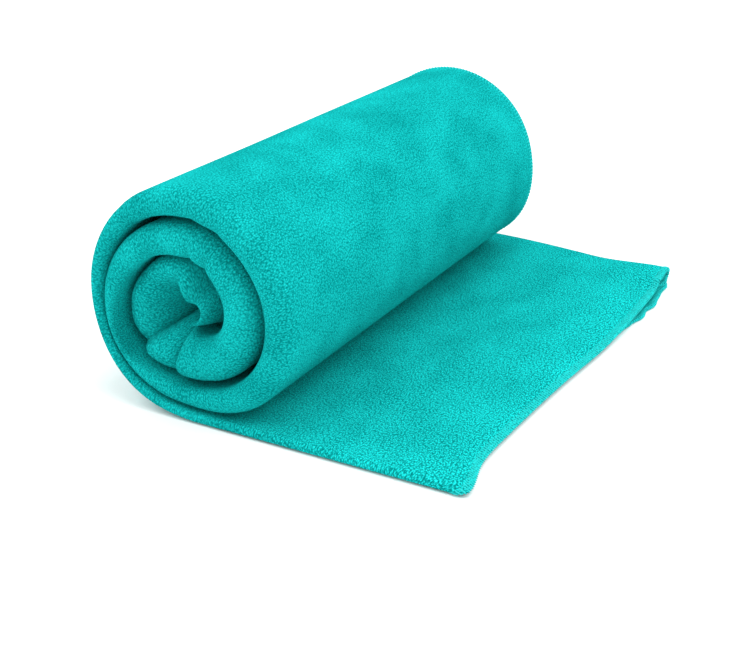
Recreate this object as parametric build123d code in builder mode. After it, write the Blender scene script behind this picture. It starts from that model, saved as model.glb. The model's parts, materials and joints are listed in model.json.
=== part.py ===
"""Quick dry towel, folded in three along its length and rolled up, with its outer end left lying flat.

The towel is one terry cloth, 600 x 1200 mm. Two long flaps are turned onto a back panel, which makes a
strip a third as wide as the towel: near flap outermost, then far flap, then back panel. Before that, the
cloth is laid in three plies near its inner end, so the inner turns are three plies thick. The tail and
the outer turn are one ply, and so is the curl in the middle, where the cloth ends.

Frame, in millimetres: +Y runs along the roll, from the near fold to the far fold; +X runs from the roll
to the end of the tail; +Z is up; the origin is at the middle of the footprint, on the resting surface.
"""

from build123d import *

import os

# Driving sizes
STRIP_WIDTH = 200.0  # the towel's width of 600, folded in three
CLOTH = 1.35  # one layer of terry, pressed by the roll
PITCH = 1.5  # from one layer to the next
TURN_GAP = 0.3  # between one turn and the next
TAIL_REACH = 102.0  # from the middle of the roll to the cut end of the cloth
OVERLOCK = 2.5  # width of the thread that binds a cut edge
EDGE_SETBACK = 3.0  # how far a flap's edge stops short of the opposite fold
JOINT_GAP = 0.3  # between two sections of the strip that bend against each other
FOLD_ROUNDING = 1.2  # edge rounding of the near and far folds
INNER_ROUNDING = 2.0  # the same, on the thicker inner turns

# The outer turn's outer face: where it leaves the floor, and the radii of its first three quarters
OUTER_LIFT_X = -4.0
OUTER_RADII = (36.0, 44.0, 36.0)

CURL_RADII = (5.0, 10.05, 4.8)  # the same, of the curl in the middle

# Where the tail bends, from the middle of the roll
ROOT_BEND_X = 42.0
END_BEND_X = 72.0

PLIES = 3
ONE_PLY = 2 * PITCH + CLOTH  # thickness of the strip with its three layers
THREE_PLIES = (3 * PLIES - 1) * PITCH + CLOTH

# The roll's middle stands this far from the origin, so that the footprint is centred on it
ROLL_X = -(OUTER_LIFT_X - OUTER_RADII[0] + TAIL_REACH + OVERLOCK) / 2
NEAR_Y = -STRIP_WIDTH / 2
FAR_Y = STRIP_WIDTH / 2


class Turn:
    """A stretch of the rolled strip: a level run towards -X, then quarters round, up, over and down.

    A drop is a quarter that comes down before the level run. Sizes are those of the outer face, in X
    from the roll's middle and Z. A depth is measured from that face towards the middle.
    """

    def __init__(self, start_x, floor_z, lift_x, radii, drop=None):
        self.start_x, self.floor_z, self.lift_x = start_x, floor_z, lift_x
        self.radii, self.drop = radii, drop
        self.left = lift_x - radii[0]
        self.centres = [(lift_x, floor_z + radii[0])]
        self.centres.append((self.left + radii[1], self.centres[0][1]))
        self.top = self.centres[1][1] + radii[1]
        self.centres.append((self.centres[1][0], self.top - radii[2]))
        self.right = self.centres[2][0] + radii[2]
        if len(radii) > 3:
            self.centres.append((self.right - radii[3], self.centres[2][1]))

    @property
    def land_x(self):
        """Where the last quarter comes down to run level again."""
        return self.centres[3][0]

    def draw(self, depth):
        """Draws the turn's line at a depth in the open BuildLine."""
        if self.drop:
            CenterArc((self.start_x, self.floor_z + self.drop), self.drop - depth, 270, 90)
        Line((self.start_x, self.floor_z + depth), (self.lift_x, self.floor_z + depth))
        for centre, radius, start_angle in zip(self.centres, self.radii, (180, 90, 0, 270)):
            CenterArc(centre, radius - depth, start_angle, 90)

    def ends(self, depth):
        """The two ends of the line at a depth."""
        x, z = self.centres[-1]
        reach = self.radii[-1] - depth
        last = (x + reach, z) if len(self.radii) == 3 else (x, z - reach)
        if self.drop:
            return (self.start_x + self.drop - depth, self.floor_z + self.drop), last
        return (self.start_x, self.floor_z + depth), last


def turn_inside(outside, outside_thickness, own_thickness, quarters):
    """The turn that follows another one inward, concentric with it, and comes down onto its own start."""
    inset = outside_thickness + TURN_GAP
    radii = [radius - inset for radius in outside.radii[:3]]
    if quarters > 3:
        landing_z = outside.floor_z + inset + own_thickness + TURN_GAP
        radii.append(outside.centres[2][1] - landing_z)
    return Turn(outside.land_x, outside.floor_z + inset, outside.lift_x, radii[:quarters])


outer_landing_z = ONE_PLY + TURN_GAP
outer_right_z = OUTER_RADII[0] + OUTER_RADII[1] - OUTER_RADII[2]
first_turn = Turn(ROOT_BEND_X - JOINT_GAP, 0.0, OUTER_LIFT_X, (*OUTER_RADII, outer_right_z - outer_landing_z))
second_turn = turn_inside(first_turn, ONE_PLY, THREE_PLIES, quarters=4)
third_turn = turn_inside(second_turn, THREE_PLIES, THREE_PLIES, quarters=3)

# The curl goes on from the third turn's innermost ply, down and round in the space that is left
curl_inset = THREE_PLIES + TURN_GAP
curl_floor_z = third_turn.floor_z + curl_inset
curl_drop = third_turn.centres[2][1] - curl_floor_z
curl_start_x = third_turn.right - 2 * PLIES * PITCH - curl_drop
curl_lift_x = third_turn.left + curl_inset + CURL_RADII[0]
curl = Turn(curl_start_x, curl_floor_z, curl_lift_x, CURL_RADII, drop=curl_drop)


def section_plane(y):
    """The upright plane at y in which a turn is drawn, with its x measured from the roll's middle."""
    return Plane(origin=(ROLL_X, y, 0), x_dir=(1, 0, 0), z_dir=(0, -1, 0))


def add_band(turn, depth, thickness, y_from, y_to):
    """Adds one layer of a turn to the open part: the band between two depths, from one y to another."""
    with BuildSketch(section_plane(y_to)) as section:
        with BuildLine():
            turn.draw(depth)
            turn.draw(depth + thickness)
            for outer_end, inner_end in zip(turn.ends(depth), turn.ends(depth + thickness)):
                Line(outer_end, inner_end)
        make_face()
    extrude(section.sketch, amount=y_to - y_from)


def end_line_middle(outer_end, inner_end, y):
    """The middle of the line across one end of a turn, in the end face at y."""
    return Vector(ROLL_X + (outer_end[0] + inner_end[0]) / 2, y, (outer_end[1] + inner_end[1]) / 2)


def round_turn_fold(part, turn, thickness, y, radius):
    """Rounds the fold at y of a turn, along both faces but not across the turn's two ends."""
    across = [end_line_middle(a, b, y) for a, b in zip(turn.ends(0), turn.ends(thickness))]
    rim = part.edges().group_by(Axis.Y)[0 if y < 0 else -1]
    along = [edge for edge in rim if all((edge.center() - middle).length > 0.5 for middle in across)]
    fillet(along, radius)


def finish(part, name):
    """Labels a finished piece and writes it as the node of that name."""
    part.label = name
    export_step(part, f"parts/{name}.step")


os.makedirs("parts", exist_ok=True)

# Depths of the strip's layers, from its outer face, and where the two flaps end
NEAR_FLAP, FAR_FLAP, BACK_PANEL = 0.0, PITCH, 2 * PITCH
NEAR_FLAP_END = FAR_Y - EDGE_SETBACK
FAR_FLAP_END = NEAR_Y + EDGE_SETBACK

# --- The outer turn, one ply: three layers and the thread along the flaps' long edges ---------------
with BuildPart() as outer_turn_near_flap:
    add_band(first_turn, NEAR_FLAP, CLOTH, NEAR_Y, NEAR_FLAP_END - OVERLOCK)
    add_band(first_turn, NEAR_FLAP, ONE_PLY, NEAR_Y, NEAR_Y + CLOTH)
    round_turn_fold(outer_turn_near_flap, first_turn, ONE_PLY, NEAR_Y, FOLD_ROUNDING)
finish(outer_turn_near_flap.part, "outer_turn_near_flap")

with BuildPart() as outer_turn_near_flap_overlock:
    add_band(first_turn, NEAR_FLAP, CLOTH, NEAR_FLAP_END - OVERLOCK, NEAR_FLAP_END)
finish(outer_turn_near_flap_overlock.part, "outer_turn_near_flap_overlock")

with BuildPart() as outer_turn_far_flap:
    add_band(first_turn, FAR_FLAP, CLOTH, FAR_FLAP_END + OVERLOCK, FAR_Y)
    add_band(first_turn, FAR_FLAP, PITCH + CLOTH, FAR_Y - CLOTH, FAR_Y)
finish(outer_turn_far_flap.part, "outer_turn_far_flap")

with BuildPart() as outer_turn_far_flap_overlock:
    add_band(first_turn, FAR_FLAP, CLOTH, FAR_FLAP_END, FAR_FLAP_END + OVERLOCK)
finish(outer_turn_far_flap_overlock.part, "outer_turn_far_flap_overlock")

with BuildPart() as outer_turn_back_panel:
    add_band(first_turn, BACK_PANEL, CLOTH, NEAR_Y + CLOTH, FAR_Y - CLOTH)
finish(outer_turn_back_panel.part, "outer_turn_back_panel")

# --- The inner turns: three plies laid together, then folded in three, so that each ply's folds wrap
# --- round those of the next
PLY_NAMES = ("outer", "middle", "inner")
INNER_FAR_FLAP_END = FAR_FLAP_END + PLIES * PITCH  # clear of the near folds of all three plies

for turn_name, turn in {"second": second_turn, "third": third_turn}.items():
    for ply, ply_name in enumerate(PLY_NAMES):
        near_flap = ply * PITCH
        far_flap = (PLIES + ply) * PITCH
        back_panel = (3 * PLIES - 1 - ply) * PITCH
        near_fold = NEAR_Y + ply * PITCH
        far_fold = FAR_Y - ply * PITCH
        with BuildPart() as ply_part:
            add_band(turn, near_flap, CLOTH, near_fold, NEAR_FLAP_END)
            add_band(turn, back_panel, CLOTH, near_fold, far_fold)
            add_band(turn, far_flap, CLOTH, INNER_FAR_FLAP_END, far_fold)
            add_band(turn, near_flap, back_panel - near_flap + CLOTH, near_fold, near_fold + CLOTH)
            add_band(turn, far_flap, back_panel - far_flap + CLOTH, far_fold - CLOTH, far_fold)
            if ply == 0:
                round_turn_fold(ply_part, turn, THREE_PLIES, NEAR_Y, INNER_ROUNDING)
        finish(ply_part.part, f"{turn_name}_turn_{ply_name}_ply")

# --- The curl in the middle, one ply again, and the thread on the short edge where the cloth ends
with BuildPart() as core_curl:
    add_band(curl, NEAR_FLAP, CLOTH, NEAR_Y, NEAR_FLAP_END)
    add_band(curl, FAR_FLAP, CLOTH, FAR_FLAP_END, FAR_Y)
    add_band(curl, BACK_PANEL, CLOTH, NEAR_Y, FAR_Y)
    add_band(curl, NEAR_FLAP, ONE_PLY, NEAR_Y, NEAR_Y + CLOTH)
    add_band(curl, FAR_FLAP, PITCH + CLOTH, FAR_Y - CLOTH, FAR_Y)
finish(core_curl.part, "core_curl")

curl_end_x, curl_end_z = curl.ends(ONE_PLY / 2)[1]
with BuildPart() as inner_end_overlock:
    with Locations((ROLL_X + curl_end_x, 0, curl_end_z - OVERLOCK / 2)):
        Box(ONE_PLY, STRIP_WIDTH, OVERLOCK)
    fillet(inner_end_overlock.faces().sort_by(Axis.Z)[0].edges().filter_by(Axis.Y), OVERLOCK / 3)
finish(inner_end_overlock.part, "inner_end_overlock")

# --- The tail: two sections of the level strip, which bend up at their joints -----------------------
TAIL_SECTIONS = {
    "tail_root": (ROOT_BEND_X, END_BEND_X - JOINT_GAP),
    "tail_end": (END_BEND_X, TAIL_REACH),
}


def add_slab(x_span, y_span, depth, thickness=CLOTH):
    """Adds a flat slab of the tail to the open part, with X from the roll's middle."""
    middle_x, middle_y = sum(x_span) / 2, sum(y_span) / 2
    with Locations((ROLL_X + middle_x, middle_y, depth + thickness / 2)):
        Box(x_span[1] - x_span[0], y_span[1] - y_span[0], thickness)


def add_near_flap(x_span, y_end):
    """Adds the near flap and its fold to the open part, over a stretch of the level strip."""
    add_slab(x_span, (NEAR_Y, y_end), NEAR_FLAP)
    add_slab(x_span, (NEAR_Y, NEAR_Y + CLOTH), NEAR_FLAP, ONE_PLY)


def add_far_flap(x_span, y_start):
    """Adds the far flap and its fold to the open part, over a stretch of the level strip."""
    add_slab(x_span, (y_start, FAR_Y), FAR_FLAP)
    add_slab(x_span, (FAR_Y - CLOTH, FAR_Y), FAR_FLAP, PITCH + CLOTH)


def round_level_fold(part, y):
    """Rounds the upper and lower edges of the level strip's fold at y."""
    fillet(part.edges().filter_by(Axis.X).group_by(Axis.Y)[0 if y < 0 else -1], FOLD_ROUNDING)


for section, x_span in TAIL_SECTIONS.items():
    with BuildPart() as near_flap_part:
        add_near_flap(x_span, NEAR_FLAP_END - OVERLOCK)
        round_level_fold(near_flap_part, NEAR_Y)
    finish(near_flap_part.part, f"{section}_near_flap")

    with BuildPart() as near_edge_part:
        add_slab(x_span, (NEAR_FLAP_END - OVERLOCK, NEAR_FLAP_END), NEAR_FLAP)
    finish(near_edge_part.part, f"{section}_near_flap_overlock")

    with BuildPart() as far_flap_part:
        add_far_flap(x_span, FAR_FLAP_END + OVERLOCK)
        round_level_fold(far_flap_part, FAR_Y)
    finish(far_flap_part.part, f"{section}_far_flap")

    with BuildPart() as far_edge_part:
        add_slab(x_span, (FAR_FLAP_END, FAR_FLAP_END + OVERLOCK), FAR_FLAP)
    finish(far_edge_part.part, f"{section}_far_flap_overlock")

    with BuildPart() as back_panel_part:
        add_slab(x_span, (NEAR_Y + CLOTH, FAR_Y - CLOTH), BACK_PANEL)
    finish(back_panel_part.part, f"{section}_back_panel")

# The thread on the towel's outer short edge follows all three layers and both folds
with BuildPart() as end_overlock:
    end_span = (TAIL_REACH, TAIL_REACH + OVERLOCK)
    add_near_flap(end_span, NEAR_FLAP_END)
    add_far_flap(end_span, FAR_FLAP_END)
    add_slab(end_span, (NEAR_Y, FAR_Y), BACK_PANEL)
    round_level_fold(end_overlock, NEAR_Y)
    round_level_fold(end_overlock, FAR_Y)
finish(end_overlock.part, "end_overlock")
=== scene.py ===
"""Rolled travel towel: one terry cloth, folded in three and rolled, with its outer end lying flat.

The cloth is built from its own coordinates: along, the distance from its outer short edge, and across,
the distance from one long edge to the other, over both folds. Sizes in the code are in millimetres.
"""

import functools
import json
import math

import bpy
import numpy as np
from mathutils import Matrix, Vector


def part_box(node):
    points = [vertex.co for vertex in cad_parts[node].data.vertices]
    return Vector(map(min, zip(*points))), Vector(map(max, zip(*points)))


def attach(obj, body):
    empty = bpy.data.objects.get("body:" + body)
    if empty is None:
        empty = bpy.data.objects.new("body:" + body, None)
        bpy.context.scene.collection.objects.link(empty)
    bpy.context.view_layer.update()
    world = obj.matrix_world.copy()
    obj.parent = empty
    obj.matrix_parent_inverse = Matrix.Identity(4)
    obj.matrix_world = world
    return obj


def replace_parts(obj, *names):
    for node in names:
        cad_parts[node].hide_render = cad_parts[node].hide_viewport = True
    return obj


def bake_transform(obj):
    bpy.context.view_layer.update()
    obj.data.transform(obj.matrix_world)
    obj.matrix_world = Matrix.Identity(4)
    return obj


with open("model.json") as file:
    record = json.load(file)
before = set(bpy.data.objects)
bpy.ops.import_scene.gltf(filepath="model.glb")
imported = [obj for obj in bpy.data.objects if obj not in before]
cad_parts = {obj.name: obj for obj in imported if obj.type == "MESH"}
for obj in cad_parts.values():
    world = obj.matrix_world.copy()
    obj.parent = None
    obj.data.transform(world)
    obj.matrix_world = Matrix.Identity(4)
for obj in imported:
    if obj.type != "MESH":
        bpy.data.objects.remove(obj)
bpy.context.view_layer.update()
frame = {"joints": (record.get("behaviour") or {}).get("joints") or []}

bl_info = {
    "name": "Rolled Travel Towel",
    "version": (1, 0, 0),
    "blender": (4, 5, 0),
    "location": "3D View > Sidebar > Towel",
    "description": "Builds a terry towel, folded in three and rolled up, around its packed frame",
    "category": "Object",
}

MM = 0.001


# --- The frame, in millimetres -------------------------------------------------------------------
def node_box(node):
    """The lowest and highest corners of a CAD node, in millimetres."""
    low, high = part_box(node)
    return np.array(low) / MM, np.array(high) / MM


def joint_place(name):
    """A joint's place in the row frame, in millimetres."""
    joint = next(j for j in frame["joints"] if j["name"] == name)
    return np.array(joint["pos_m"]) / MM


ROLL_LOW, ROLL_HIGH = node_box("outer_turn_near_flap")
ROLL_X = ROLL_LOW[0] + ROLL_HIGH[2] / 2
NEAR_FOLD_Y = ROLL_LOW[1]
FAR_FOLD_Y = node_box("outer_turn_far_flap")[1][1]
CUT_EDGE_X = node_box("end_overlock")[0][0] - ROLL_X
ROOT_HINGE = joint_place("tail_root_bend")
END_HINGE = joint_place("tail_end_bend")
BEND_REACH = 6.0  # room kept on each side of a hinge for the cloth to bend in
BEND_CLEARANCE = 5.0  # how far beyond the root's bend the roll's piece ends
SPLIT_X = (ROOT_HINGE[0] + END_HINGE[0]) / 2 - ROLL_X  # where the cloth's two pieces on the tail meet
LEVEL_X = ROOT_HINGE[0] - BEND_REACH - BEND_CLEARANCE - ROLL_X  # where the first of them meets the roll's
ROOT_STARTS = CUT_EDGE_X - SPLIT_X  # how far from the cut edge each of these pieces starts
ROLL_STARTS = CUT_EDGE_X - LEVEL_X
CUT_WIDTH, CUT_LENGTH = 600.0, 1200.0  # the size the whole towel was cut to, before it was folded

# --- The spiral: how far the strip's outer face reaches from its middle, down, left, up and right ------
# Places round the roll, and widths along it that way, are in quarter turns from where the strip leaves
# the floor: a whole number for each of the four reaches of a turn.
MIDDLE_HEIGHT = 41.0
REST_FLAT = 3.5  # how much nearer to the middle it is where a turn rests on what is under it
REST_WIDTH = 0.32
FIRST_TURN = (MIDDLE_HEIGHT + REST_FLAT, 40.5, 45.0, 43.0)
SECOND_TURN = (40.5, 35.5, 31.5, 28.5)
THIRD_TURN = (24.5, 25.0, 20.0, 12.5)
THIRD_TURN_END = 6.0
REACHES = (*FIRST_TURN, *SECOND_TURN, *THIRD_TURN, THIRD_TURN_END)
THIRD_BULGE = 5.5  # how much the third turn bulges, low on its left
THIRD_BULGE_PLACE = (8.7, 0.42)  # where it does, and how wide that is
TURN_GAP = 0.5
MIDDLE_DRIFT = (-3.5, -4.0)  # how far the spiral's middle moves, sideways and up, over its second turn
PLIES_START = 4.5  # where the cloth becomes three plies thick
PLIES_SPREAD = 0.45  # over how much of a turn its layers make room for them
PLIES_END = 12.0
CURL_END = 14.6
CURL_THICKNESS = 1.7  # the single ply that curls in the middle
HOLE_RADIUS = 3.3
HOLE_JOIN = 0.6  # over how much of a turn the hole's wall leaves the third turn
FAR_END_SIZE = 0.92  # the roll's size at its far end, to that at its near end
FLOOR_CLEARANCE = 0.36  # room for the thread under the cloth


def smooth_through(points, at):
    """A smooth curve through values at 0, 1, 2 and so on, read at the given places."""
    points = np.asarray(points, float)
    slopes = np.gradient(points)
    at = np.clip(at, 0, len(points) - 1 - 1e-9)
    i = at.astype(int)
    t = at - i
    low, high = points[i], points[i + 1]
    along = low + (high - low) * (3 - 2 * t) * t * t
    return along + slopes[i] * t * (1 - t) ** 2 - slopes[i + 1] * t * t * (1 - t)


def ease(x):
    """A smooth step from 0 to 1."""
    x = np.clip(x, 0, 1)
    return x * x * (3 - 2 * x)


def hump(x, middle, width):
    """A smooth bump of height 1."""
    return np.exp(-(((x - middle) / width) ** 2))


def valley(x, middle, width):
    """A sharp-bottomed bump of height 1."""
    return np.exp(-np.abs((x - middle) / width))


def settings():
    """The towel's settings, as the sidebar shows them."""
    return bpy.context.scene.rolled_towel


class TowelSettings(bpy.types.PropertyGroup):
    """Sizes and colours of the towel."""

    cloth_thickness: bpy.props.FloatProperty(
        name="Cloth thickness", description="One layer of terry, pressed by the roll",
        default=1.3 * MM, unit="LENGTH", precision=4)
    stitch_pitch: bpy.props.FloatProperty(
        name="Stitch pitch", description="From one overlock stitch to the next",
        default=1.3 * MM, unit="LENGTH", precision=4)
    thread_thickness: bpy.props.FloatProperty(
        name="Thread thickness", description="Diameter of the overlock thread",
        default=0.55 * MM, unit="LENGTH", precision=4)
    overlock_width: bpy.props.FloatProperty(
        name="Overlock width", description="How far the stitches reach in from a cut edge",
        default=2.7 * MM, unit="LENGTH", precision=4)
    loop_pitch: bpy.props.FloatProperty(
        name="Loop pitch", description="From one row of terry loops to the next",
        default=0.95 * MM, unit="LENGTH", precision=4)
    crease_depth: bpy.props.FloatProperty(
        name="Crease depth", description="How deep the folds round the roll's middle are",
        default=6.0 * MM, unit="LENGTH", precision=4)
    cloth_colour: bpy.props.FloatVectorProperty(
        name="Cloth colour", description="The terry's dyed colour",
        default=(0.0018, 0.52, 0.505), size=3, subtype="COLOR", min=0, max=1)
    thread_colour: bpy.props.FloatVectorProperty(
        name="Thread colour", description="The overlock thread's dyed colour",
        default=(0.012, 0.56, 0.545), size=3, subtype="COLOR", min=0, max=1)
    floor_colour: bpy.props.FloatVectorProperty(
        name="Floor colour", description="The pale surface that the towel lies on",
        default=(0.93, 0.93, 0.93), size=3, subtype="COLOR", min=0, max=1)


# --- The cloth's stations, from its outer short edge to its inner one ------------------------------
FOLD_LAYERS = 3  # near flap, far flap and back panel
PLIES = 3
ALL_LAYERS = FOLD_LAYERS * PLIES
# Depths of near flap, far flap and back panel in a single ply.
SINGLE = tuple((layer + 0.5) / FOLD_LAYERS for layer in range(FOLD_LAYERS))
HEM_REACH = 11.0  # how far in from the cut edge its stations lie close together
HEM_STEP = 0.9
TAIL_ROWS = 16
ROOT_ROWS = 14
LEVEL_ROWS = 12
OUTER_PLY_STEP = 1 / 20  # from one station to the next, in quarter turns
INNER_PLY_STEP = 1 / 10
CURL_STEP = 1 / 12
CURL_JOIN = 0.4  # over how much of a turn the last ply opens out into the curl
TURN_BACK_ROWS = 6
TURN_BACK_REACH = 0.03  # how far past the plies' end their own folds bulge


class Stations:
    """Rows of points across the cloth, one after another along it.

    level is a row's distance from the roll's middle while the strip lies flat, or 0. quarter is how far
    round the roll it is. near, far and back say how deep the three layers lie in the strip, from 0 at
    its outer face to 1 at its inner face. curl says whether the row is in the single ply in the middle.
    """

    def __init__(self):
        self.rows = []

    def add(self, level, quarter, depths, wrap, layers=FOLD_LAYERS, curl=False):
        """Adds a row. wrap is which ply's fold it lies in, and layers how many share the strip's depth."""
        self.rows.append((level, quarter, *depths, wrap, curl, layers))

    def columns(self):
        """The rows as one array for each of their values, each as a column."""
        return [np.array(column, float)[:, None] for column in zip(*self.rows)]


def ply_depths(ply):
    """Depths of near flap, far flap and back panel of a ply, where three plies are folded together."""
    near, far, back = ply + 0.5, PLIES + ply + 0.5, ALL_LAYERS - ply - 0.5
    return near / ALL_LAYERS, far / ALL_LAYERS, back / ALL_LAYERS


def between(a, b, t):
    """Part of the way from one row of numbers to another."""
    return tuple(x + (y - x) * t for x, y in zip(a, b))


def tail_stations():
    """The end of the tail, from the cut edge to where it meets the next piece."""
    made = Stations()
    hem = np.arange(CUT_EDGE_X, CUT_EDGE_X - HEM_REACH, -HEM_STEP)
    for x in np.concatenate([hem, np.linspace(CUT_EDGE_X - HEM_REACH, SPLIT_X, TAIL_ROWS)]):
        made.add(x, 0, SINGLE, 0)
    return made


def root_stations():
    """The root of the tail, from the piece at its end to the roll's."""
    made = Stations()
    for x in np.linspace(SPLIT_X, LEVEL_X, ROOT_ROWS):
        made.add(x, 0, SINGLE, 0)
    return made


def roll_stations():
    """The rest of the cloth: on along the floor, round the roll and into its middle."""
    made = Stations()
    for x in np.linspace(LEVEL_X, 0, LEVEL_ROWS)[:-1]:
        made.add(x, 0, SINGLE, 0)
    for quarter in np.arange(0, PLIES_START, OUTER_PLY_STEP):
        spread = float(ease((quarter - PLIES_START + PLIES_SPREAD) / PLIES_SPREAD))
        layers = FOLD_LAYERS + (ALL_LAYERS - FOLD_LAYERS) * spread
        made.add(0, quarter, between(SINGLE, ply_depths(0), spread), 0, layers)
    for quarter in np.arange(PLIES_START, PLIES_END, OUTER_PLY_STEP):
        made.add(0, quarter, ply_depths(0), 0, ALL_LAYERS)
    turn_back(made, 0, PLIES_END, 1)
    for quarter in np.arange(PLIES_END, PLIES_START, -INNER_PLY_STEP):
        made.add(0, quarter, ply_depths(1), 1, ALL_LAYERS)
    turn_back(made, 1, PLIES_START, -1)
    for quarter in np.arange(PLIES_START, PLIES_END, INNER_PLY_STEP):
        made.add(0, quarter, ply_depths(2), 2, ALL_LAYERS)
    for quarter in np.arange(PLIES_END, CURL_END, CURL_STEP):
        opened = float(ease((quarter - PLIES_END) / CURL_JOIN))
        made.add(0, quarter, between(ply_depths(2), SINGLE, opened), 0, FOLD_LAYERS, True)
    return made


def turn_back(made, ply, quarter, way):
    """The cloth's own fold between one ply and the next, at an end of the three plies."""
    for step in np.linspace(0, 1, TURN_BACK_ROWS):
        share = float(ease(step))
        reach = TURN_BACK_REACH * way * math.sin(math.pi * step)
        depths = between(ply_depths(ply), ply_depths(ply + 1), share)
        made.add(0, quarter + reach, depths, ply + share, ALL_LAYERS)


# --- The cloth's shape -----------------------------------------------------------------------------
NEAR_ARC_STEPS = 12
FAR_ARC_STEPS = 10
COARSE_PANEL_STEPS = 24
FINE_PANEL_STEPS = 72
FLAP_SHORT = 2.5  # how far a flap's edge stops short of the opposite fold
PLY_FILL = 0.84  # how much of its room a ply fills at most
LEAST_FOLD_REACH = 0.5
ROUNDEST_FOLD = 6.6  # the most that a fold's round part reaches in, in a thin strip
THICK_STRIP_ADDS = 2.4  # and how much more in a thick one
DROOP_FROM = 78  # how far out on the tail its end starts to lose the fold's shape
END_FOLD_OPENS = 3.4  # how much further its far fold reaches in there
HEM_HOLLOW = 3.4  # how far the middle layers' edges lie in from the others'
DROOP_SHARE = 0.52  # how much of its height the cloth loses along its cut edge
LOOP_LIFT = 3.4  # how far the top layer lifts at the far corner, where the fold stands open
LOOP_PLACE = (FAR_FOLD_Y - 7, 11)
PUCKER = 1.3  # a small pucker in the top layer, beside that
PUCKER_PLACE = (83, 2.6)
CREASE_FADE = 22  # over what distance from the near end a crease fades
SLOPE_FADE = 38
FULLER = 0.07  # how much fuller the roll's lower right is at its far end than at its near one
FULLER_PLACE = (3.55, 0.42)


class Across:
    """The columns across the cloth: which segment each lies in, and how far it is along that segment."""

    def __init__(self, panel_steps):
        flap = 1 - np.linspace(1, 0, panel_steps * 2 // 3 + 1) ** 1.5
        panel = (1 - np.cos(np.linspace(0, math.pi, panel_steps + 1))) / 2
        if panel_steps == FINE_PANEL_STEPS:
            flap, panel = np.linspace(0, 1, panel_steps + 1), np.linspace(0, 1, panel_steps + 1)
        pattern = [("near_flap", t) for t in flap[:-1]]
        pattern += [("near_fold", t) for t in np.linspace(0, 1, NEAR_ARC_STEPS + 1)[:-1]]
        pattern += [("back_panel", t) for t in panel[:-1]]
        pattern += [("far_fold", t) for t in np.linspace(0, 1, FAR_ARC_STEPS + 1)[:-1]]
        pattern += [("far_flap", t) for t in 1 - flap[::-1]]
        self.kinds = np.array([kind for kind, _ in pattern])
        self.share = np.array([t for _, t in pattern])[None, :]

    def segment(self, name):
        """Which columns lie in a segment, and how far along it each of them is."""
        return (self.kinds == name)[None, :], self.share


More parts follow.
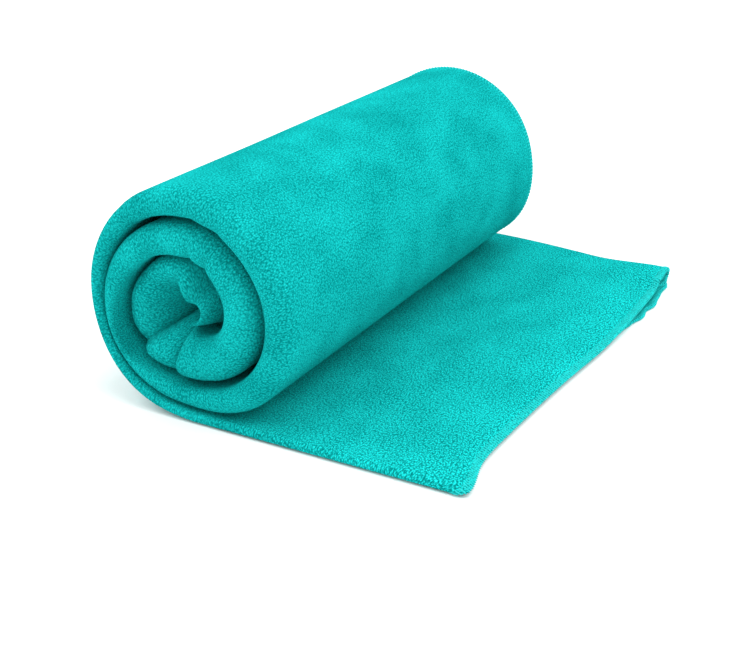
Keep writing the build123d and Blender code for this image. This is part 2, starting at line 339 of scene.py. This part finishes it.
class Cloth:
    """A stretch of the towel's cloth as a grid: a row for each station and a column across it."""

    def __init__(self, stations, starts_along, panel_steps):
        level, quarter, near, far, back, wrap, curl, layers = stations.columns()
        self.columns = Across(panel_steps)
        outer, inner, room = faces(quarter, curl > 0.5)
        pitch = room / layers
        depth, y = self.cross_section(level, near, far, back, wrap, room, pitch, quarter)
        flat_rows = (quarter == 0) & (level > 0)
        on_floor, pressed = self.level_rows(level, depth, y, near, back, room)
        on_roll = self.rolled_rows(quarter, outer, inner, depth, y)
        self.points = np.where(flat_rows[:, :, None], on_floor, on_roll)
        self.points += (ROLL_X, 0, FLOOR_CLEARANCE)
        room_for_ply = np.where(flat_rows, pressed, 1) * pitch
        self.half = np.minimum(settings().cloth_thickness / MM, PLY_FILL * room_for_ply) / 2
        self.measure(starts_along)

    def cross_section(self, level, near, far, back, wrap, room, pitch, quarter):
        """How deep each point lies in the strip, from 0 to 1, and its place along the roll."""
        roundest = ROUNDEST_FOLD + THICK_STRIP_ADDS * ease((room - 12) / 8)
        ply_in = wrap * pitch
        near_reach = fold_reach((back - near) * room / 2, ply_in, roundest)
        far_reach = fold_reach((back - far) * room / 2, ply_in, roundest)
        far_reach = far_reach + END_FOLD_OPENS * ease((level - DROOP_FROM) / 22)
        near_end = NEAR_FOLD_Y + near_end_set_back(quarter)
        far_end = FAR_FOLD_Y - far_end_set_back(quarter, level)
        near_fold, far_fold = near_end + ply_in, far_end - ply_in
        ends = {
            "near_flap": (near, far_fold - FLAP_SHORT, near_fold + near_reach),
            "back_panel": (back, near_fold + near_reach, far_fold - far_reach),
            "far_flap": (far, far_fold - far_reach, near_end + FLAP_SHORT + PLIES * pitch),
        }
        depth = np.zeros((len(near), len(self.columns.kinds)))
        y = np.zeros_like(depth)
        for name, (layer, start, end) in ends.items():
            inside, t = self.columns.segment(name)
            depth = np.where(inside, layer, depth)
            y = np.where(inside, start + (end - start) * t, y)
        for name, (a, b, fold, reach, way) in {
            "near_fold": (near, back, near_fold, near_reach, 1),
            "far_fold": (back, far, far_fold, far_reach, -1),
        }.items():
            inside, t = self.columns.segment(name)
            depth = np.where(inside, (a + b) / 2 - (b - a) / 2 * np.cos(math.pi * t), depth)
            y = np.where(inside, fold + way * reach * (1 - np.sin(math.pi * t)), y)
        return depth, y

    @staticmethod
    def level_rows(level, depth, y, near, back, room):
        """The rows that lie flat, and how much of their height the cloth keeps where its end droops."""
        top = (depth - near) / (back - near)
        towards_end = ease((level - DROOP_FROM) / (CUT_EDGE_X - DROOP_FROM))
        upper, lower = upper_edge(y), lower_edge(y)
        hidden = HEM_HOLLOW * 4 * top * (1 - top) * ease((93 - y) / 12) * ease((y + 86) / 14)
        x = level + towards_end * (top * upper + (1 - top) * lower - hidden)
        from_edge = CUT_EDGE_X + upper - x
        droops = 1 - ease((y - 12) / 30)
        kept = 1 - DROOP_SHARE * droops * (1 - ease((from_edge + 1) / 7))
        rows = ease((level - 18) / 25) * ease((FAR_FOLD_Y - np.abs(y)) / 40)
        broad = 0.45 * np.sin(level / 11 + y / 31) * np.sin(y / 17 + 1.3)
        ripple = broad + 0.3 * np.sin(level / 8 - y / 23)
        lifted = ease((level - SPLIT_X - 8) / 34) * ease((top - 0.5) / 0.5)
        lift = lifted * (0.4 + LOOP_LIFT * hump(y, *LOOP_PLACE))
        pucker = PUCKER * hump(y, *PUCKER_PLACE) * ease((level - 90) / 9) * ease((top - 0.25) / 0.2)
        z = depth * (room + ripple * rows) * kept * end_size(y) + lift + pucker
        return np.stack([x, y, z], axis=2), kept

    @staticmethod
    def rolled_rows(quarter, outer, inner, depth, y):
        """The rows that go round the roll."""
        turn = quarter * math.pi / 2
        place = outer[:, None] + (inner - outer)[:, None] * depth[:, :, None]
        soft = 0.008 * np.sin(2 * turn + y / 38) + 0.006 * np.sin(3 * turn - y / 23 + 1.2)
        soft = soft + 0.004 * np.sin(5 * turn + y / 14)
        from_end = y - NEAR_FOLD_Y
        along_roll = from_end / (FAR_FOLD_Y - NEAR_FOLD_Y)
        fuller = FULLER * hump(quarter, *FULLER_PLACE) * (along_roll - 0.3)
        size = end_size(y) * (1 + soft * (1 - np.cos(turn)) / 2 + fuller)
        crease = settings().crease_depth / MM * creases(quarter)
        crease = crease * (0.3 + 0.7 * depth) * np.exp(-from_end / CREASE_FADE)
        slope = end_slope(quarter) * depth * depth + pocket(quarter) * (1 - depth) ** 1.1
        slope = slope * np.exp(-np.maximum(from_end, 0) / SLOPE_FADE)
        x, z = place[:, :, 0] * size, place[:, :, 1] * end_size(y)
        return np.stack([x, y + crease + slope, z], axis=2)

    def measure(self, starts_along):
        """Works out the cloth's normals and its flat coordinates, along and across, from the grid."""
        p = self.points
        normals = np.cross(np.gradient(p, axis=0), np.gradient(p, axis=1))
        self.normals = normals / np.linalg.norm(normals, axis=2, keepdims=True)
        steps_across = np.linalg.norm(np.diff(p, axis=1), axis=2)
        steps_along = np.linalg.norm(np.diff(p, axis=0), axis=2).mean(axis=1)
        self.across = np.concatenate([np.zeros((len(p), 1)), np.cumsum(steps_across, axis=1)], axis=1)
        self.along = starts_along + np.concatenate([[0], np.cumsum(steps_along)])

    def read(self, rows, columns):
        """Points, normals and half thicknesses of the cloth at fractional rows and columns."""
        i = np.clip(np.floor(rows).astype(int), 0, self.points.shape[0] - 2)
        j = np.clip(np.floor(columns).astype(int), 0, self.points.shape[1] - 2)
        s, t = (rows - i)[..., None], (columns - j)[..., None]
        found = []
        for grid in (self.points, self.normals, self.half[:, :, None]):
            this_row = grid[i, j] * (1 - t) + grid[i, j + 1] * t
            next_row = grid[i + 1, j] * (1 - t) + grid[i + 1, j + 1] * t
            found.append(this_row * (1 - s) + next_row * s)
        return found

    def build(self, name):
        """Makes the cloth's mesh from its middle surface, and thickens it where it isn't pressed."""
        thickness = settings().cloth_thickness
        rows, columns = self.across.shape
        index = np.arange(rows * columns).reshape(rows, columns)
        corners = [index[:-1, :-1], index[1:, :-1], index[1:, 1:], index[:-1, 1:]]
        quads = np.stack(corners, axis=-1).reshape(-1, 4)
        mesh = bpy.data.meshes.new(name)
        mesh.from_pydata((self.points * MM).reshape(-1, 3).tolist(), [], quads.tolist())
        layer = mesh.uv_layers.new(name="cloth")
        along = np.broadcast_to(self.along[:, None], self.across.shape)
        flat = np.stack([self.across, along], axis=2) * MM
        layer.data.foreach_set("uv", flat.reshape(-1, 2)[quads.ravel()].ravel())
        obj = bpy.data.objects.new(name, mesh)
        bpy.context.scene.collection.objects.link(obj)
        group = obj.vertex_groups.new(name="fullness")
        for vertex, half in enumerate(self.half.ravel().tolist()):
            group.add([vertex], 2 * half * MM / thickness, "REPLACE")
        solidify = obj.modifiers.new("thickness", "SOLIDIFY")
        solidify.thickness = thickness
        solidify.offset = 0
        solidify.vertex_group = group.name
        return finished(obj)


def fold_reach(natural, ply_in, roundest):
    """How far in a fold's round part reaches, for a ply that lies inside the others by ply_in."""
    return np.maximum(np.minimum(natural + ply_in, roundest) - ply_in, LEAST_FOLD_REACH)


def on_spiral(quarter, radius):
    """The point at a distance from the spiral's middle, in the plane across the roll."""
    turn = quarter * math.pi / 2
    drift = ease((quarter - 4) / 4)
    x = drift * MIDDLE_DRIFT[0] - np.sin(turn) * radius
    z = MIDDLE_HEIGHT + drift * MIDDLE_DRIFT[1] - np.cos(turn) * radius
    return np.concatenate([x, z], axis=1)


def outer_radius_at(quarter):
    """The radius of the strip's outer face: a smooth curve through the reaches, flatter where it rests."""
    flat = REST_FLAT * (hump(quarter, 0, REST_WIDTH) + hump(quarter, 4, REST_WIDTH))
    return smooth_through(REACHES, quarter) - flat + THIRD_BULGE * hump(quarter, *THIRD_BULGE_PLACE)


def hole_radius(quarter):
    """The inner radius of the third turn, from where the plies end beside it."""
    widest = THIRD_TURN_END + TURN_GAP
    return widest + (HOLE_RADIUS - widest) * ease((quarter - 8) / HOLE_JOIN)


def faces(quarter, in_curl):
    """Points on the strip's outer and inner faces, and the distance between them."""
    outer_radius = outer_radius_at(quarter)
    curl_radius = hole_radius(quarter - 4) - TURN_GAP
    outer_radius = np.where(in_curl, curl_radius, outer_radius)
    inside = np.where(in_curl, curl_radius - CURL_THICKNESS, hole_radius(quarter))
    next_turn = on_spiral(quarter + 4, outer_radius_at(quarter + 4) + TURN_GAP)
    outer = on_spiral(quarter, outer_radius)
    inner = np.where(quarter < 8, next_turn, on_spiral(quarter, inside))
    return outer, inner, np.linalg.norm(outer - inner, axis=1, keepdims=True)


def end_size(y):
    """The roll's size at a place along it, to that at its near end."""
    return 1 + (FAR_END_SIZE - 1) * (y - NEAR_FOLD_Y) / (FAR_FOLD_Y - NEAR_FOLD_Y)


def near_end_set_back(quarter):
    """How far in from the near end each turn's fold lies."""
    uneven = 0.4 * np.sin(quarter * 2.1) * ease((quarter - 3) / 2)
    inner_turns = 1.6 * ease((quarter - 3.2) / 1.5)
    return -1.2 + inner_turns + 0.9 * ease((quarter - 7) / 2) + uneven + sunk_middle(quarter)


def sunk_middle(quarter):
    """How much further in the end of the plies and the curl lie."""
    return 1.5 * ease((quarter - 10.1) / 0.9) + MIDDLE_SUNK * ease((quarter - PLIES_END) / 0.5)


def far_end_set_back(quarter, level):
    """How far in from the far end each turn's fold lies."""
    lying = -6.5 * (1 - ease(quarter / 1.2)) + 9.0 * ease((level - 20) / 100)
    inner_turns = 1.5 * ease((quarter - 3) / 1.5)
    return lying + inner_turns + 1.5 * ease((quarter - 7) / 2) + 0.8 * sunk_middle(quarter)


# Creases in the near fold: where round the roll, how deep to the crease depth in the settings, how wide.
CREASES = (
    (7.8, 0.25, 0.07), (8.93, 0.5, 0.06), (9.33, 0.8, 0.07), (9.52, 0.5, 0.05), (5.57, 0.5, 0.05),
    (6.05, 0.45, 0.05), (6.25, 0.45, 0.05), (1.55, 0.4, 0.05), (2.04, 0.3, 0.05), (2.24, 0.3, 0.05),
)
OVERLAPS = ((2.8, 8.6, 0.32), (1.3, 8.2, 0.13))  # how high, where, and over what width they fade
OVERLAP_RISE = 0.045
MIDDLE_SUNK = 26.0  # how much further in the curl lies than the turns round it
FUNNEL_DEPTH = 24.0
POCKET_DEPTH = 21.0


def overlap(x, at, width):
    """A bump of height 1 that rises at once and fades over a width, as where a fold lies over the next."""
    return np.where(x < at, np.exp(-(((x - at) / OVERLAP_RISE) ** 2)), np.exp(-np.abs(x - at) / width))


def creases(quarter):
    """How deeply the near fold is creased, most round the roll's middle, where it is turned tightest."""
    found = sum(depth * valley(quarter, middle, width) for middle, depth, width in CREASES)
    for height, at, width in OVERLAPS:
        found = found + height * overlap(quarter, at, width)
    return found


def end_slope(quarter):
    """How far the strip's near end slopes in from its outer face to its inner one."""
    funnel = FUNNEL_DEPTH * ease((quarter - 7.9) / 0.8) * (1 - ease((quarter - 9.82) / 0.16))
    return 5.0 * hump(quarter, 1.25, 0.45) + funnel


def pocket(quarter):
    """How far the last plies' near end slopes in the other way, into a pocket beside the third turn."""
    return POCKET_DEPTH * ease((quarter - 9.95) / 0.4) * (1 - ease((quarter - 11.9) / 0.3))


def upper_edge(y):
    """How far the back panel's cut edge stands out: most at its near corner and past its middle."""
    from_near = y - NEAR_FOLD_Y
    return 5.2 * hump(from_near, 0, 14) + 4.0 * hump(from_near, 142, 55) - 2.8


def lower_edge(y):
    """The same of the near flap's, under the others. It peeks out beside the far corner, in waves."""
    from_near = y - NEAR_FOLD_Y
    waves = (0.5 * np.sin(y / 2.7) + 0.35 * np.sin(y / 1.8 + 1)) * ease((y - 20) / 15)
    return 5.0 * hump(from_near, 0, 12) + 8.6 * hump(from_near, 165, 42) - 6.5 + waves


SHARP_ANGLE = 50


def finished(obj):
    """Applies a piece's modifiers, shades it smooth and gives it back with its place in its mesh."""
    graph = bpy.context.evaluated_depsgraph_get()
    made = obj.evaluated_get(graph)
    mesh = bpy.data.meshes.new_from_object(made, preserve_all_data_layers=True, depsgraph=graph)
    obj.modifiers.clear()
    obj.vertex_groups.clear()
    obj.data = mesh
    mesh.name = obj.name
    for polygon in mesh.polygons:
        polygon.use_smooth = True
    mesh.set_sharp_from_angle(angle=math.radians(SHARP_ANGLE))
    return obj


# --- The overlock thread ----------------------------------------------------------------------------
STITCH_SIDES = 5
THREAD_STARTS = 0.3  # how far from a corner the first stitch is, and the last at least
THREAD_ENDS = 2
# One stitch, from above the cloth over its edge and under it: share of the pitch along the edge, share
# of the overlock's width inward, and which face of the cloth it lies on.
STITCH = ((0.0, 1.0, 0.6), (0.12, 0.6, 1.1), (0.26, 0.12, 1.0), (0.36, -0.08, 0.0), (0.46, 0.12, -1.0),
          (0.6, 0.6, -1.1), (0.75, 1.0, -0.6))


def tube_mesh(name, paths, beside, radius):
    """A mesh of short closed tubes along paths. beside is a direction out of each path's own plane."""
    tangent = np.gradient(paths, axis=1)
    tangent /= np.linalg.norm(tangent, axis=2, keepdims=True)
    first = beside - (beside * tangent).sum(axis=2, keepdims=True) * tangent
    first /= np.linalg.norm(first, axis=2, keepdims=True)
    second = np.cross(tangent, first)
    turn = np.linspace(0, 2 * math.pi, STITCH_SIDES, endpoint=False)
    ring = first[:, :, None] * np.cos(turn)[:, None] + second[:, :, None] * np.sin(turn)[:, None]
    points = paths[:, :, None] + radius * ring
    count, length = paths.shape[:2]
    index = np.arange(count * length * STITCH_SIDES).reshape(count, length, STITCH_SIDES)
    turned = np.roll(index, -1, axis=2)
    corners = [index[:, :-1], turned[:, :-1], turned[:, 1:], index[:, 1:]]
    sides = np.stack(corners, axis=-1).reshape(-1, 4)
    caps = index[:, 0, ::-1].tolist() + index[:, -1].tolist()
    mesh = bpy.data.meshes.new(name)
    mesh.from_pydata((points * MM).reshape(-1, 3).tolist(), [], sides.tolist() + caps)
    for polygon in mesh.polygons:
        polygon.use_smooth = True
    obj = bpy.data.objects.new(name, mesh)
    bpy.context.scene.collection.objects.link(obj)
    return obj


def stitch_places():
    """One stitch's points: how far along the edge and inward, and the share of the way out of the cloth."""
    towel = settings()
    along, inward, out = np.array(STITCH).T
    return along * towel.stitch_pitch / MM, inward * towel.overlock_width / MM, out


def thread_from(name, cloth, rows, columns, out):
    """Stitches whose points lie at fractional rows and columns of the cloth, and out of its faces."""
    thickness = settings().thread_thickness / MM
    points, normals, half = cloth.read(rows, columns)
    paths = points + normals * out[:, None] * (half + 0.1 * thickness)
    beside = np.gradient(points[:, 0], axis=0)[:, None]
    return tube_mesh(name, paths, beside, thickness / 2)


def short_edge_thread(name, cloth, row, way):
    """The overlock along a short edge of the cloth. way is which way the rows run inward from it."""
    along, inward, out = stitch_places()
    across = cloth.across[row]
    starts = np.arange(THREAD_STARTS, across[-1] - THREAD_ENDS, settings().stitch_pitch / MM)
    columns = np.interp(starts[:, None] + along, across, np.arange(len(across)))
    rows = np.interp(cloth.along[row] + way * inward, cloth.along, np.arange(len(cloth.along)))
    rows = rows + way * np.minimum(inward, 0) / abs(cloth.along[row + way] - cloth.along[row])
    return thread_from(name, cloth, np.broadcast_to(rows, columns.shape), columns, out)


def long_edge_thread(name, cloth, first):
    """The overlock along a long edge of the cloth: the near flap's, which is first, or the far flap's."""
    along, inward, out = stitch_places()
    first_stitch, last_stitch = cloth.along[0] + THREAD_STARTS, cloth.along[-1] - THREAD_ENDS
    starts = np.arange(first_stitch, last_stitch, settings().stitch_pitch / MM)
    rows = np.interp(starts[:, None] + along, cloth.along, np.arange(len(cloth.along)))
    nearest = np.clip(rows.round().astype(int), 0, len(cloth.along) - 1)
    last = cloth.across.shape[1] - 1
    column, beside = (0, 1) if first else (last, last - 1)
    width = np.abs(cloth.across[nearest, beside] - cloth.across[nearest, column])
    return thread_from(name, cloth, rows, column + (beside - column) * inward / width, out)


# --- Materials ---------------------------------------------------------------------------------------
class Wire:
    """A node's output socket, with the arithmetic that a shader needs."""

    def __init__(self, tree, socket):
        self.tree, self.socket = tree, socket

    def node(self, kind, inputs=(), output=0, **set_first):
        """Any other node: its type, its settings, its inputs by name or number, and the output wanted."""
        made = self.tree.nodes.new(kind)
        for name, value in set_first.items():
            setattr(made, name, value)
        for key, value in dict(inputs).items():
            if isinstance(value, Wire):
                self.tree.links.new(value.socket, made.inputs[key])
            else:
                made.inputs[key].default_value = value
        return Wire(self.tree, made.outputs[output])

    def maths(self, operation, *values):
        """A Math node on this value and others."""
        return self.node("ShaderNodeMath", dict(enumerate(values)), operation=operation)

    def __add__(self, other):
        return self.maths("ADD", self, other)

    def __sub__(self, other):
        return self.maths("SUBTRACT", self, other)

    def __rsub__(self, other):
        return self.maths("SUBTRACT", other, self)

    def __mul__(self, other):
        return self.maths("MULTIPLY", self, other)

    def __truediv__(self, other):
        return self.maths("DIVIDE", self, other)

    def power(self, exponent):
        """This value to a power."""
        return self.maths("POWER", self, exponent)

    def clamped(self):
        """This value, kept from 0 to 1."""
        return self.node("ShaderNodeClamp", {0: self})

    def mix(self, low, high):
        """A colour between two others, by this value."""
        return self.node("ShaderNodeMix", {0: self, 6: low, 7: high}, output=2, data_type="RGBA")


def new_material(name):
    """A new material, its shader, and a wire to start from."""
    material = bpy.data.materials.new(name)
    material.use_nodes = True
    shader = material.node_tree.nodes["Principled BSDF"]
    return material, shader, Wire(material.node_tree, None)


def connect(shader, **wires):
    """Links wires to the shader's sockets, by name."""
    for name, wire in wires.items():
        wire.tree.links.new(wire.socket, shader.inputs[name.replace("_", " ")])


def shade(colour, factor, white=0.0):
    """A colour made darker or lighter, and mixed with a share of white."""
    return tuple(min(1, c * factor * (1 - white) + white) for c in colour) + (1,)


LOOP_CROWDING = 1.4  # how much closer the loops lie along the cloth than across it
LOOSE_AND_LIT_STRETCH = 1.4  # how far in the loops stand loose and the colour is kept free of the roll's painted shade, to the tail's length


@functools.cache
def terry_material():
    """Terry: short loops in rows with a soft uneven nap, their tops painted brighter as painted highlight
    and the ground between them painted darker as painted shade, and the roll painted darker than the tail
    as painted shade.
    """
    towel = settings()
    material, shader, start = new_material("terry_cloth")
    flat = start.node("ShaderNodeUVMap", uv_map="cloth")
    per_metre = 1 / towel.loop_pitch
    cells = start.node("ShaderNodeMapping", {0: flat, 3: (per_metre, per_metre * LOOP_CROWDING, 1)})
    loops = start.node(
        "ShaderNodeTexVoronoi", {0: cells, "Scale": 1.0, "Randomness": 1.0}, voronoi_dimensions="2D")
    fibre = start.node("ShaderNodeTexNoise", {0: cells, "Scale": 1.5, "Detail": 3.0, "Roughness": 0.7},
                       noise_dimensions="2D")
    nap = start.node("ShaderNodeTexNoise", {0: cells, "Scale": 0.04, "Detail": 3.0, "Roughness": 0.6},
                     noise_dimensions="2D")
    across = start.node("ShaderNodeSeparateXYZ", {0: cells}, output=0)
    along = start.node("ShaderNodeSeparateXYZ", {0: flat}, output=1)
    # High on the tail and low on the roll: the tail's loops stand loose with more contrast, and the same
    # rise in the colour is painted shade that keeps the roll darker than the tail.
    loose_and_lit_tail = (1.0 - along / (ROLL_STARTS * LOOSE_AND_LIT_STRETCH * MM)).clamped() * 0.9 + 0.52
    row = (across * (2 * math.pi)).maths("COSINE")
    dots = (1.0 - loops * 1.6).clamped().power(1.4)
    grain = (fibre - 0.5) * 2.4
    height = (dots * 0.75 + grain * 0.85 - row * 0.2 + 0.08) * loose_and_lit_tail
    # Colour: the loops' tops are painted lighter, up to a touch of white, as painted highlight, and the
    # ground between them darker, as painted shade; the fibre grain and the nap add random tone.
    tone_and_painted_light = (height * 1.25 + (nap - 0.5) * 0.45 + loose_and_lit_tail * 0.08 + 0.14).clamped()
    colour = tone_and_painted_light.mix(shade(towel.cloth_colour, 0.36), shade(towel.cloth_colour, 1.48, 0.01))
    bump = start.node("ShaderNodeBump", {"Strength": 0.6, "Distance": 0.4 * MM, "Height": height})
    connect(shader, Base_Color=colour, Normal=bump)
    shader.inputs["Roughness"].default_value = 1.0
    shader.inputs["Specular IOR Level"].default_value = 0.0
    shader.inputs["Sheen Weight"].default_value = 0.12
    shader.inputs["Sheen Roughness"].default_value = 0.35
    shader.inputs["Sheen Tint"].default_value = (0.04, 0.95, 0.93, 1)
    return material


@functools.cache
def thread_material():
    """Overlock thread: twisted polyester, a little lighter and smoother than the terry."""
    towel = settings()
    material, shader, start = new_material("overlock_thread")
    place = start.node("ShaderNodeTexCoord", output="Object")
    twist = start.node("ShaderNodeTexNoise", {0: place, "Scale": 1900.0, "Detail": 2.0})
    colour = twist.mix(shade(towel.thread_colour, 0.75), shade(towel.thread_colour, 1.2, 0.02))
    bump = start.node("ShaderNodeBump", {"Strength": 0.4, "Distance": 0.2 * MM, "Height": twist})
    connect(shader, Base_Color=colour, Normal=bump)
    shader.inputs["Roughness"].default_value = 0.9
    shader.inputs["Specular IOR Level"].default_value = 0.05
    return material


def dress(obj, material):
    """Gives a piece its material."""
    obj.data.materials.clear()
    obj.data.materials.append(material)
    return obj


# --- The pieces of cloth, and the bodies some of them are parented to ---------------------------------
def bend_at(obj):
    """Bakes a piece's place into its mesh."""
    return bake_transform(obj)


class Piece:
    """A piece of the cloth with the thread on its two long edges, over one stretch of the frame's nodes."""

    def __init__(self, name, stretch, cloth, *plies):
        self.cloth = cloth
        self.sheet = dress(cloth.build(name), terry_material())
        layers = [f"{stretch}_{layer}" for layer in ("near_flap", "far_flap", "back_panel")]
        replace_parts(self.sheet, *layers, *plies)
        self.threads = []
        for flap, first in (("near_flap", True), ("far_flap", False)):
            edge = long_edge_thread(f"{name}_{flap}_thread", cloth, first)
            self.add_thread(edge, f"{stretch}_{flap}_overlock")
        self.bending = [self.sheet, *self.threads]

    def add_thread(self, edge, node):
        """Adds a stretch of thread that replaces a node of the frame."""
        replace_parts(dress(edge, thread_material()), node)
        self.threads.append(edge)

    def declare(self, length):
        flat = (CUT_WIDTH * MM, length * MM)
        return {"FINISHED"}


class TOWEL_OT_rolled_cloth(bpy.types.Operator):
    """Builds the roll, with the thread on the cloth's inner end"""

    bl_idname = "towel.rolled_cloth"
    bl_label = "Rolled cloth"

    def execute(self, context):
        cloth = Cloth(roll_stations(), ROLL_STARTS, COARSE_PANEL_STEPS)
        turns, depths = ("second", "third"), ("outer", "middle", "inner")
        plies = [f"{turn}_turn_{ply}_ply" for turn in turns for ply in depths]
        piece = Piece("rolled_cloth", "outer_turn", cloth, *plies, "core_curl")
        inner = short_edge_thread("inner_end_thread", cloth, len(cloth.along) - 1, -1)
        piece.add_thread(inner, "inner_end_overlock")
        for obj in (*piece.bending, inner):
            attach(obj, "roll")
        return piece.declare(CUT_LENGTH - ROLL_STARTS)


class TOWEL_OT_root_cloth(bpy.types.Operator):
    """Builds the root of the tail, where it leaves the roll"""

    bl_idname = "towel.root_cloth"
    bl_label = "Root cloth"

    def execute(self, context):
        cloth = Cloth(root_stations(), ROOT_STARTS, FINE_PANEL_STEPS)
        piece = Piece("root_cloth", "tail_root", cloth)
        for obj in piece.bending:
            bend_at(obj)
        return piece.declare(ROLL_STARTS - ROOT_STARTS)


class TOWEL_OT_tail_cloth(bpy.types.Operator):
    """Builds the end of the tail, with the thread on the cloth's outer end"""

    bl_idname = "towel.tail_cloth"
    bl_label = "Tail cloth"

    def execute(self, context):
        piece = Piece("tail_cloth", "tail_end", Cloth(tail_stations(), 0, FINE_PANEL_STEPS))
        for obj in piece.bending:
            bend_at(obj)
        outer = short_edge_thread("outer_end_thread", piece.cloth, 0, 1)
        piece.add_thread(outer, "end_overlock")
        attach(outer, "tail_end")
        return piece.declare(ROOT_STARTS)


FLOOR_HALF = 3.0  # half a side of the floor, in metres
# Each light: its name, its place and what it looks at in metres, its side and its power.
LIGHTS = (
    ("key", (0.6, 0.05, 1.15), (0.0, 0.0, 0.0), 1.3, 13.5),
    ("front", (-0.7, -0.6, 1.05), (0.0, 0.0, 0.03), 0.8, 6.5),
)
CAMERA_PLACE = (284.2, -386.6, 252.5)  # from the middle of the roll's near end, and up from the floor
CAMERA_DOWN, CAMERA_ROUND = 24.38, 29.15  # how far it looks down, and round to the left, in degrees
CAMERA_LENS = 76.46


class TOWEL_OT_stage(bpy.types.Operator):
    """Builds the pale floor, the soft light and the camera"""

    bl_idname = "towel.stage"
    bl_label = "Stage"

    def execute(self, context):
        scene = context.scene
        scene.view_settings.view_transform = "Standard"
        half = FLOOR_HALF
        mesh = bpy.data.meshes.new("floor")
        corners = [(-half, -half, 0), (half, -half, 0), (half, half, 0), (-half, half, 0)]
        mesh.from_pydata(corners, [], [(0, 1, 2, 3)])
        floor = bpy.data.objects.new("floor", mesh)
        scene.collection.objects.link(floor)
        material, shader, _ = new_material("pale_floor")
        shader.inputs["Base Color"].default_value = shade(settings().floor_colour, 1)
        shader.inputs["Roughness"].default_value = 0.9
        mesh.materials.append(material)
        world = bpy.data.worlds.new("studio")
        world.use_nodes = True
        world.node_tree.nodes["Background"].inputs["Color"].default_value = (1, 1, 1, 1)
        world.node_tree.nodes["Background"].inputs["Strength"].default_value = 1.0
        scene.world = world
        for light in LIGHTS:
            self.add_light(scene, *light)
        camera = bpy.data.objects.new("camera", bpy.data.cameras.new("camera"))
        camera.data.lens = CAMERA_LENS
        x, y, z = CAMERA_PLACE
        camera.location = ((x + ROLL_X) * MM, (y + NEAR_FOLD_Y) * MM, z * MM)
        camera.rotation_euler = (math.radians(90 - CAMERA_DOWN), 0, math.radians(CAMERA_ROUND))
        scene.collection.objects.link(camera)
        scene.camera = camera
        return {"FINISHED"}

    @staticmethod
    def add_light(scene, name, place, target, size, power):
        """A square soft light that looks at a target."""
        light = bpy.data.objects.new(name, bpy.data.lights.new(name, "AREA"))
        light.data.size = size
        light.data.energy = power
        light.location = place
        towards = np.array(target) - np.array(place)
        flat = math.hypot(towards[0], towards[1])
        turned = math.atan2(towards[1], towards[0]) - math.pi / 2
        light.rotation_euler = (math.atan2(flat, -towards[2]), 0, turned)
        scene.collection.objects.link(light)


class TOWEL_PT_panel(bpy.types.Panel):
    """Lists the towel's settings and the steps that build it"""

    bl_label = "Rolled Travel Towel"
    bl_idname = "TOWEL_PT_panel"
    bl_space_type = "VIEW_3D"
    bl_region_type = "UI"
    bl_category = "Towel"

    def draw(self, context):
        for name in TowelSettings.__annotations__:
            self.layout.prop(context.scene.rolled_towel, name)
        for step in STEPS:
            self.layout.operator(step.bl_idname)


STEPS = (TOWEL_OT_rolled_cloth, TOWEL_OT_root_cloth, TOWEL_OT_tail_cloth, TOWEL_OT_stage)
CLASSES = (TowelSettings, *STEPS, TOWEL_PT_panel)


def register():
    """Registers the add-on's classes and settings."""
    for cls in CLASSES:
        bpy.utils.register_class(cls)
    bpy.types.Scene.rolled_towel = bpy.props.PointerProperty(type=TowelSettings)


def unregister():
    """Takes the add-on's classes and settings away."""
    del bpy.types.Scene.rolled_towel
    for cls in reversed(CLASSES):
        bpy.utils.unregister_class(cls)


def main():
    """Builds the towel and its stage."""
    register()
    bpy.ops.towel.rolled_cloth()
    bpy.ops.towel.root_cloth()
    bpy.ops.towel.tail_cloth()
    bpy.ops.towel.stage()


if __name__ == "__main__":
    main()
